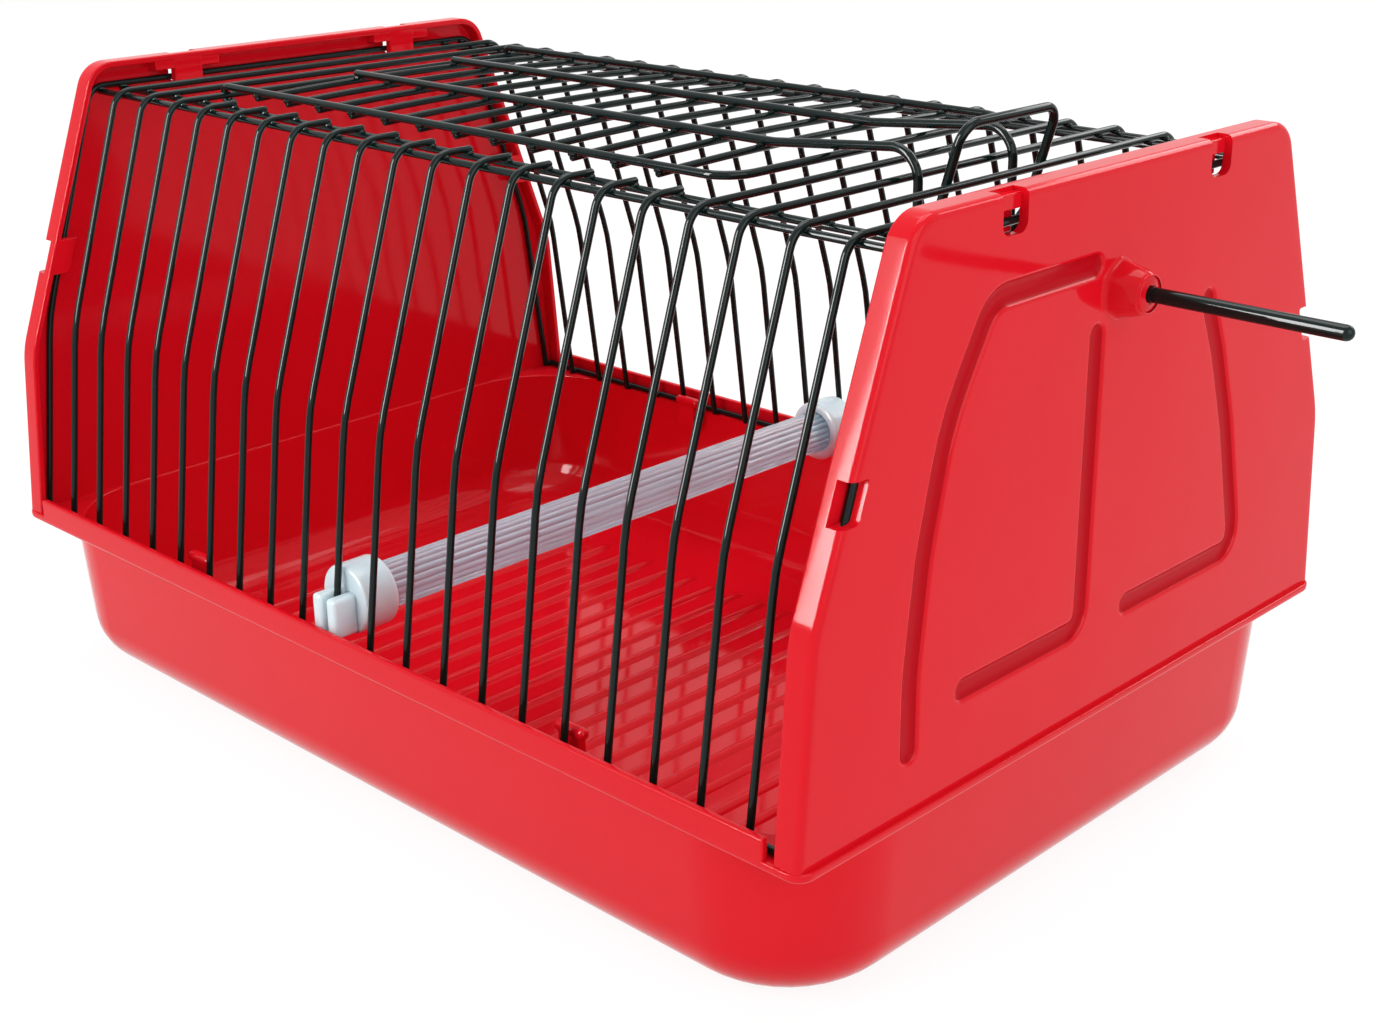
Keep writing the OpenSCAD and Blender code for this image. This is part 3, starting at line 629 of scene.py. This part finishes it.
def pocket_cutters():
    """What takes the two side pockets and the two top pockets out of the panel."""
    side_floor, beyond = panel_y(side_pocket_z) - pocket_depth, panel_x + 2
    cutters = []
    for side in (-1, 1):
        ys = sorted((side * side_floor, side * (side_floor + 20)))
        zs = side_pocket_z, side_pocket_z + side_pocket_h
        cutters.append(leaned(block_along_x(pocket_x, beyond, *ys, *zs, side_pocket_r), side, side_pocket_z))
        ys = side * top_pocket_y - top_pocket_w / 2, side * top_pocket_y + top_pocket_w / 2
        cutters.append(block_along_x(pocket_x, beyond, *ys, top_pocket_z, panel_top_z + 8, top_pocket_r))
    return cutters


def trap_tabs():
    """The tabs behind the pockets that hold the end hoop, and a stiffening block behind the top ones."""
    lap, tab_edge_r, hoop_room, block_wider, tabs = 0.4, 0.35, 2.6, 6, []
    tab_x, tab_top = flange_x + 0.01, panel_top_z - flange_t / 2
    for side in (-1, 1):
        low = side_pocket_z - lap
        ys = sorted((side * (hood_y(low) - wire_r - 1), side * (panel_y(low) - flange_t / 2)))
        high = low + side_pocket_h + 2 * lap
        tab = rounded_block((tab_x, ys[0], low), (tab_end_x, ys[1], high), tab_edge_r)
        tabs.append(leaned(tab, side, low))
        y, half_w = side * top_pocket_y, top_pocket_w / 2 + lap
        tabs.append(rounded_block((tab_x, y - half_w, hood_roof_z - hoop_room),
                                  (tab_end_x, y + half_w, tab_top), tab_edge_r))
        half_w += block_wider
        tabs.append(rounded_block((flange_x + 0.2, y - half_w, hood_roof_z + hoop_room),
                                  (panel_inner_x + 0.3, y + half_w, tab_top), 0.3))
    return tabs


def boss():
    """The tapered six-sided boss with a softly spread foot, a round lip and the bolt's bore."""
    foot_r, end_r, flat_r, around = 7.45, 4.3, 5.85, 72
    edge_sharpness, swell = 2.2, 0.12       # of the smooth join between the cone and the hexagon
    foot_l, root_x, lip_r = 1.5, panel_inner_x + 0.7, 0.5
    turn = np.linspace(0, 2 * math.pi, around, endpoint=False)
    to_flat = (turn + math.pi / 6) % (math.pi / 3) - math.pi / 6
    hexagon = flat_r / np.cos(to_flat)

    def round_ring(x, r):
        return np.stack([np.full(around, x), r * np.cos(turn), bolt_z + r * np.sin(turn)], 1)

    def sided_ring(x, cone_r, spread=0.0):
        both = np.exp(-edge_sharpness * cone_r) + np.exp(-edge_sharpness * (hexagon + spread))
        return round_ring(x, swell - np.log(both) / edge_sharpness)

    slope = (foot_r - end_r) / (boss_end_x - panel_inner_x)
    flange_depth = panel_x - panel_inner_x
    rings = [round_ring(root_x, foot_r)]
    rings += [sided_ring(panel_x - overlap + foot_l * up,
                         foot_r - slope * (flange_depth + foot_l * up) + 0.5 * inward, 0.9 * inward)
              for up, inward in quarter(5)]
    rings += [sided_ring(x, foot_r - slope * (x - panel_inner_x))
              for x in (153.5, 155.5, 157.0, boss_end_x - 0.7)]
    rings += [round_ring(boss_end_x - lip_r * inward, end_r + slope * 0.4 - 0.45 * up)
              for up, inward in reversed(quarter(4))]
    rings += [round_ring(boss_end_x, bore_r + 0.5), round_ring(boss_end_x - 0.15, bore_r + 0.15),
              round_ring(boss_end_x - lip_r, bore_r), round_ring(root_x, bore_r)]
    return loft(rings, closed=True)


def on_ledge(shells, turned=False):
    """Shells lifted from the ledge's level, and turned to the left end where asked."""
    turn = np.array([-1, -1, 1]) if turned else np.ones(3)
    return [(np.asarray(points) * turn + (0, 0, tray_h), faces) for points, faces in shells]


(bare_panel, groove_shade_faces), cutters = panel_shell(), pocket_cutters()
bore = cylinder((panel_inner_x - 2, 0, bolt_z), (panel_x + 2, 0, bolt_z), bore_r)
for name, turned, cuts, extras in (("left_end_panel", True, cutters, trap_tabs()),
                                   ("right_end_panel", False, cutters + [bore], trap_tabs() + [boss()])):
    panel = make_mesh(name + "_moulding", on_ledge([bare_panel], turned))
    panel.data.materials.append(panel_red)
    panel.data.materials.append(groove_painted_shade)
    # The faces deep in the grooves take the darker red of painted shade.
    for i in groove_shade_faces:
        panel.data.polygons[i].material_index = 1
    cut(panel, on_ledge(cuts, turned))
    fittings = make_mesh("fittings", on_ledge(extras, turned))
    both = bmesh.new()
    both.from_mesh(panel.data)
    both.from_mesh(fittings.data)
    both.to_mesh(panel.data)
    both.free()
    bpy.data.objects.remove(fittings)
    panel.data.set_sharp_from_angle(angle=math.radians(crease_deg))
    settle(panel, panel_red, "hood", name)

# ---- Wire hood ----
# Hoops of drawn steel wire, bent on a former and resistance welded to straight rails, then dipped
# in a glossy black-green coating that pools at the welds and rounds off the cut ends.
first_bar, last_bar, bar_end_y = 4, 16, 58.0
knee_r, roof_r, weld = 60.0, 6.0, 0.2
roof_rail_z = hood_roof_z - 2 * wire_r + weld
rail_ys = {"outer": hood_roof_y - 3.3, "inner": bar_end_y + wire_r}
sill_rail_y, sill_rail_z, foot_z = hood_foot_y + 2 * wire_r - weld, wire_r + 0.1, 0.1
roof_bead, sill_bead = (1.25, 1.25, 0.75), (1.2, 0.7, 1.2)


def hoop_x(i):
    return (i - last_hoop / 2) * hoop_pitch


def tube(line, radius, sides=14):
    """A wire along a line, with softly rounded ends."""
    line = np.asarray(line, float)
    steps = np.diff(line, axis=0)
    steps /= np.linalg.norm(steps, axis=1)[:, None]
    ways = np.vstack([steps[:1], steps[:-1] + steps[1:], steps[-1:]])
    ways /= np.linalg.norm(ways, axis=1)[:, None]
    ease = radius * 0.6
    shaped = [(line[0] + ways[0] * ease * up, ways[0], radius - ease * inward) for up, inward in quarter(4)]
    shaped += [(p, way, radius) for p, way in zip(line[1:-1], ways[1:-1])]
    shaped += [(line[-1] - ways[-1] * ease * up, ways[-1], radius - ease * inward)
               for up, inward in reversed(quarter(4))]
    lean = np.array([0, 0, 1.0]) if abs(ways[0][2]) < 0.9 else np.array([1.0, 0, 0])
    side, rings = np.cross(ways[0], lean), []
    turn = np.linspace(0, 2 * math.pi, sides, endpoint=False)[:, None]
    for place, way, r in shaped:
        side = unit(side - way * (side @ way))
        rings.append(place + r * (np.cos(turn) * side + np.sin(turn) * np.cross(way, side)))
    return loft(rings)


def bead(centre, radii, sides=10):
    """A weld's bead of coating."""
    turn = np.linspace(0, 2 * math.pi, sides, endpoint=False)
    rings = []
    for a in np.linspace(8, 172, 7):
        a = math.radians(a)
        rings.append(np.array(centre) + np.array(radii) * np.stack(
            [math.sin(a) * np.cos(turn), math.sin(a) * np.sin(turn), np.full(sides, math.cos(a))], 1))
    return loft(rings)


def coated_surface():
    """The dip coating's slow thickness changes and fine specks."""
    group, nodes, links, given, made = surface_group(
        "coated_surface", ("Colour", "Thin Colour"), ("Gloss Roughness", "Sag"))
    specks = noise(nodes, links, 900, 3)
    blend_colours(nodes, links, specks, given["Colour"], given["Thin Colour"], made["Colour"])
    worn = maths(nodes, links, "MULTIPLY_ADD", specks, 0.1, given["Gloss Roughness"])
    links.new(worn, made["Roughness"])
    links.new(maths(nodes, links, "MULTIPLY", noise(nodes, links, 160, 2), given["Sag"]), made["Height"])
    return group


coating = coated_surface()
wire_coat = finish_material("wire_coat", coating, {
    "Colour": (0.0025, 0.009, 0.008, 1), "Thin Colour": (0.004, 0.014, 0.0125, 1),
    "Gloss Roughness": 0.03, "Sag": 0.00006}, {"IOR": 1.3})


half_hoop = ((hood_y(foot_z), foot_z), (hood_knee_y, hood_knee_z), (hood_roof_y, hood_roof_z))


def hoop_line(x):
    """A full hoop, from its front foot over the roof to its rear foot."""
    corners = [(x, -y, z) for y, z in half_hoop] + [(x, y, z) for y, z in half_hoop[::-1]]
    return bent(corners, (knee_r, roof_r, roof_r, knee_r))


def bar_line(x, side):
    """A short bar, from its foot to its cut end beside the door opening."""
    return bent([(x, side * y, z) for y, z in (*half_hoop, (bar_end_y, hood_roof_z))], (knee_r, roof_r))


def rail_beads(x, side):
    """Beads where one upright wire meets its rails on one side."""
    roof_touch = (hood_roof_z + roof_rail_z) / 2
    beads = [bead((x, side * y, roof_touch), roof_bead) for y in rail_ys.values()]
    return beads + [bead((x, side * (sill_rail_y + hood_y(sill_rail_z)) / 2, sill_rail_z), sill_bead)]


def settle_wire(name, shells, body, node):
    settle(make_mesh(name + "_wire", on_ledge(shells)), wire_coat, body, node, flat_faces=False)


hoop_groups = (("left_end_hoop", 0, 0), ("left_hoops", 1, first_bar - 1),
               ("right_hoops", last_bar + 1, last_hoop - 1), ("right_end_hoop", last_hoop, last_hoop))
for name, first, last in hoop_groups:
    shells = []
    for i in range(first, last + 1):
        shells.append(tube(hoop_line(hoop_x(i)), wire_r))
        shells += rail_beads(hoop_x(i), -1) + rail_beads(hoop_x(i), 1)
    settle_wire(name, shells, "hood", name)

for name, side in (("front", -1), ("rear", 1)):
    shells = []
    for i in range(first_bar, last_bar + 1):
        shells.append(tube(bar_line(hoop_x(i), side), wire_r))
        shells += rail_beads(hoop_x(i), side)
    settle_wire(name + "_bars", shells, "hood", name + "_bars")
    rails = {key: (side * y, roof_rail_z) for key, y in rail_ys.items()}
    rails["sill"] = side * sill_rail_y, sill_rail_z
    for key, (y, z) in rails.items():
        ends = [(hoop_x(0) - wire_r, y, z), (hoop_x(last_hoop) + wire_r, y, z)]
        settle_wire(f"{name}_{key}_rail", [tube(ends, wire_r)], "hood", f"{name}_{key}_rail")

# ---- Roof door ----
# A thicker wire bent into a U, curled round the hoop beside the opening as its hinge, with twelve
# slightly crowned wires and a long wire tongue welded across.
frame_r, tongue_r, thick_sides = 1.0, 1.1, 18
door_y, door_corner_r, door_crown, cross_over = 51.0, 8.0, 1.2, 0.8
hinge_x, door_end_x, hinge_curl_r = hoop_x(first_bar - 1), hoop_x(last_bar) + hoop_pitch / 2, 2.2
door_z = hood_roof_z + hinge_curl_r
cross_z = door_z - frame_r - wire_r + weld
crown_r = (door_y ** 2 + door_crown ** 2) / (2 * door_crown)
cross_wires = range(first_bar, last_bar)
curl = [(hinge_x + hinge_curl_r * math.cos(a), hood_roof_z + hinge_curl_r * math.sin(a))
        for a in np.radians(np.linspace(335, 96, 24))]
frame_line = bent([(hinge_x, -door_y, door_z), (door_end_x, -door_y, door_z), (door_end_x, door_y, door_z),
                   (hinge_x, door_y, door_z)], (door_corner_r, door_corner_r))
near_curl, far_curl = [(x, -door_y, z) for x, z in curl], [(x, door_y, z) for x, z in curl[::-1]]
frame_line = np.vstack([near_curl, frame_line, far_curl])
settle_wire("door_frame", [tube(frame_line, frame_r, thick_sides)], "door", "door_frame")


def crown_z(y):
    """Height of the crowned cross wires' middle line."""
    return cross_z + math.sqrt(crown_r ** 2 - y * y) - (crown_r - door_crown)


tongue_y, tongue_rise, leg_x, tongue_bend_x = 17.5, 3.9, 109.0, 67.0
tongue_lift_r, tongue_bend_r, loop_r = 20, 7.0, 3.2
tongue_z = crown_z(tongue_y) + wire_r + tongue_r - weld
cross_bar_z, tongue_top_z = 94.2, tongue_z + tongue_rise
shells = []
for i in cross_wires:
    reach = np.linspace(-door_y - cross_over, door_y + cross_over, 17)
    shells.append(tube([(hoop_x(i), y, crown_z(y)) for y in reach], wire_r))
    for y, bead_y in ((-door_y, 1.5), (door_y, 1.5), (-tongue_y, 1.4), (tongue_y, 1.4)):
        shells.append(bead((hoop_x(i), y, crown_z(y) + wire_r - weld / 2), (1.3, bead_y, 0.8)))
settle_wire("door_cross_wires", shells, "door", "door_cross_wires")

tongue_start_x = hoop_x(first_bar) - wire_r
half_tongue = [(tongue_start_x, tongue_z), (tongue_bend_x, tongue_z),
               (leg_x, tongue_top_z), (leg_x, cross_bar_z)]
corners = [(x, -tongue_y, z) for x, z in half_tongue] + [(x, tongue_y, z) for x, z in half_tongue[::-1]]
half_radii = (tongue_lift_r, tongue_bend_r, loop_r)
tongue_line = bent(corners, half_radii + half_radii[::-1])
settle_wire("door_tongue", [tube(tongue_line, tongue_r, thick_sides)], "door", "door_tongue")

# ---- Finger bail ----
# A small loop of the same wire whose eyes turn on the tongue's hidden cross bar. At rest it leans
# on the next hoop and stands above the roof, where a finger can pull it.
bail_lean, eye_y, eye_r, bail_top, bail_top_r = math.radians(16.9), 12.0, 2.4, 40.24, 5.0
splay_low, splay_high = 7.0, 15.0
legs = [(eye_y, eye_r), (eye_y, splay_low), (tongue_y, splay_high), (tongue_y, bail_top)]
corners = [(0, -y, z) for y, z in legs] + [(0, y, z) for y, z in legs[::-1]]
bail_line = bent(corners, (loop_r, loop_r, bail_top_r, bail_top_r, loop_r, loop_r))
shells = [tube(bail_line, tongue_r, thick_sides)]
turn = np.linspace(0, 2 * math.pi, thick_sides, endpoint=False)[:, None]
for y in (-eye_y, eye_y):
    rings = []
    for a in np.linspace(0, 2 * math.pi, 32, endpoint=False):
        out = np.array([math.cos(a), 0, math.sin(a)])
        section = np.cos(turn) * out + np.sin(turn) * np.array([0, 1, 0])
        rings.append(np.array([0, y, 0]) + out * eye_r + tongue_r * section)
    shells.append(loft(rings, closed=True))
tilt = np.array(Matrix.Rotation(bail_lean, 3, "Y"))
shells = [(points @ tilt.T + (leg_x, 0, cross_bar_z), faces) for points, faces in shells]
settle_wire("finger_bail", shells, "bail", "finger_bail")

# ---- Bolt ----
# A thicker coated rod with a round tip and a flattened head inside the panel. Pushed in, it slides
# over the tongue's cross bar and locks the door.
bolt_r, bolt_tip_x, bolt_sides = 1.7, 204.2, 32
bolt_head_r, bolt_head_x, bolt_head_l, head_edge_r = 3.5, 146.2, 1.5, 0.4
head_end_x = bolt_head_x + bolt_head_l
profile = [(bolt_head_x + head_edge_r * up, bolt_head_r - head_edge_r * inward) for up, inward in quarter(3)]
profile += [(head_end_x - head_edge_r * up, bolt_head_r - head_edge_r * inward)
            for up, inward in reversed(quarter(3))]
profile += [(head_end_x, bolt_r)]
profile += [(bolt_tip_x - bolt_r * up, bolt_r * (1 - inward)) for up, inward in reversed(quarter(6))][:-1]
profile.append((bolt_tip_x - 0.01, bolt_r * 0.08))
turn = np.linspace(0, 2 * math.pi, bolt_sides, endpoint=False)
rings = [np.stack([np.full(bolt_sides, x), r * np.cos(turn), bolt_z + r * np.sin(turn)], 1)
         for x, r in profile]
settle(make_mesh("bolt_rod_wire", on_ledge([loft(rings)])), wire_coat, "bolt", "bolt_rod")

# ---- Perch ----
# An extruded bar of clear polystyrene with round ribs for the bird's grip, held at both ends in
# white clips whose prongs snap over one hoop.
perch_x, perch_z, perch_r, perch_ribs, rib_depth, perch_edge_r = -7.0, 10.3, 6.25, 20, 0.5, 0.6
clip_r, clip_l, clip_floor_t = 9.05, 10.5, 3.0
clip_end_y = hood_y(perch_z + clip_r) - wire_r - 0.3
perch_end_y = clip_end_y - clip_floor_t - 0.1
clear_bar = finish_material("perch_clear", moulding, {
    "Colour": (0.70, 0.90, 1.0, 1), "Deep Colour": (0.58, 0.82, 0.94, 1), "Drift": 0.5,
    "Gloss Roughness": 0.05, "Warp": 0.00005, "Peel": 0.000001}, {"IOR": 1.5, "Transmission Weight": 0.68})
turn = np.linspace(0, 2 * math.pi, perch_ribs * 8, endpoint=False)
section = perch_r - rib_depth * (1 - np.abs(np.cos(turn * perch_ribs / 2)) ** 0.7)
ends = [(-perch_end_y + perch_edge_r * up, perch_edge_r * inward) for up, inward in quarter(3)]
rings = []
for y, drop in ends + [(-y, drop) for y, drop in reversed(ends)]:
    r = section - drop
    rings.append(np.stack([perch_x + r * np.cos(turn), np.full(len(turn), y), perch_z + r * np.sin(turn)], 1))
settle(make_mesh("perch_bar_ribbed", on_ledge([loft(rings)]), crease=60), clear_bar,
       "hood", "perch_bar", flat_faces=False)

white_clip = finish_material("clip_white", moulding, {
    "Colour": (0.70, 0.84, 0.90, 1), "Deep Colour": (0.62, 0.77, 0.84, 1), "Drift": 0.3,
    "Gloss Roughness": 0.22, "Warp": 0.0001, "Peel": 0.000004},
    {"IOR": 1.49, "Subsurface Weight": 0.6, "Subsurface Scale": 0.004})
white_clip.node_tree.nodes["Principled BSDF"].inputs["Subsurface Radius"].default_value = (1.0, 0.9, 0.8)


def perch_clip(side):
    """A round cup over the bar's end, and two prongs that snap over the hoop's foot."""
    mouth_r, rim_r, cup_end_r, cup_sides, centre_r = 6.35, 1.2, 0.8, 64, 0.4
    mouth_y, floor_y = clip_end_y - clip_l, clip_end_y - clip_floor_t
    profile = [(clip_end_y, centre_r)]
    profile += [(clip_end_y - cup_end_r * up, clip_r - cup_end_r * inward) for up, inward in quarter(4)]
    profile += [(mouth_y + rim_r * inward, clip_r - rim_r * 1.7 * up) for up, inward in quarter(5)]
    profile += [(mouth_y, mouth_r + 0.25), (mouth_y + 0.2, mouth_r), (floor_y, mouth_r), (floor_y, centre_r)]
    turn = np.linspace(0, 2 * math.pi, cup_sides, endpoint=False)
    shells = [loft([np.stack([perch_x + r * np.cos(turn), np.full(cup_sides, side * y),
                              perch_z + r * np.sin(turn)], 1) for y, r in profile])]
    grip, prong_w, prong_top, prong_edge_r = wire_r + 0.15, 3.5, 13.0, 1.1
    prong_low, prong_end = sill_rail_z + wire_r + 0.6, ledge_half_y - rim_t - 0.3
    for x0, x1 in ((grip, grip + prong_w), (-grip - prong_w, -grip)):
        ys = sorted((side * floor_y, side * prong_end))
        shells.append(rounded_block((perch_x + x0, ys[0], prong_low), (perch_x + x1, ys[1], prong_top),
                                    prong_edge_r, steps=5))
    return shells


for name, side in (("front_perch_clip", -1), ("rear_perch_clip", 1)):
    settle(make_mesh(name + "_white", on_ledge(perch_clip(side))), white_clip, "hood", name)
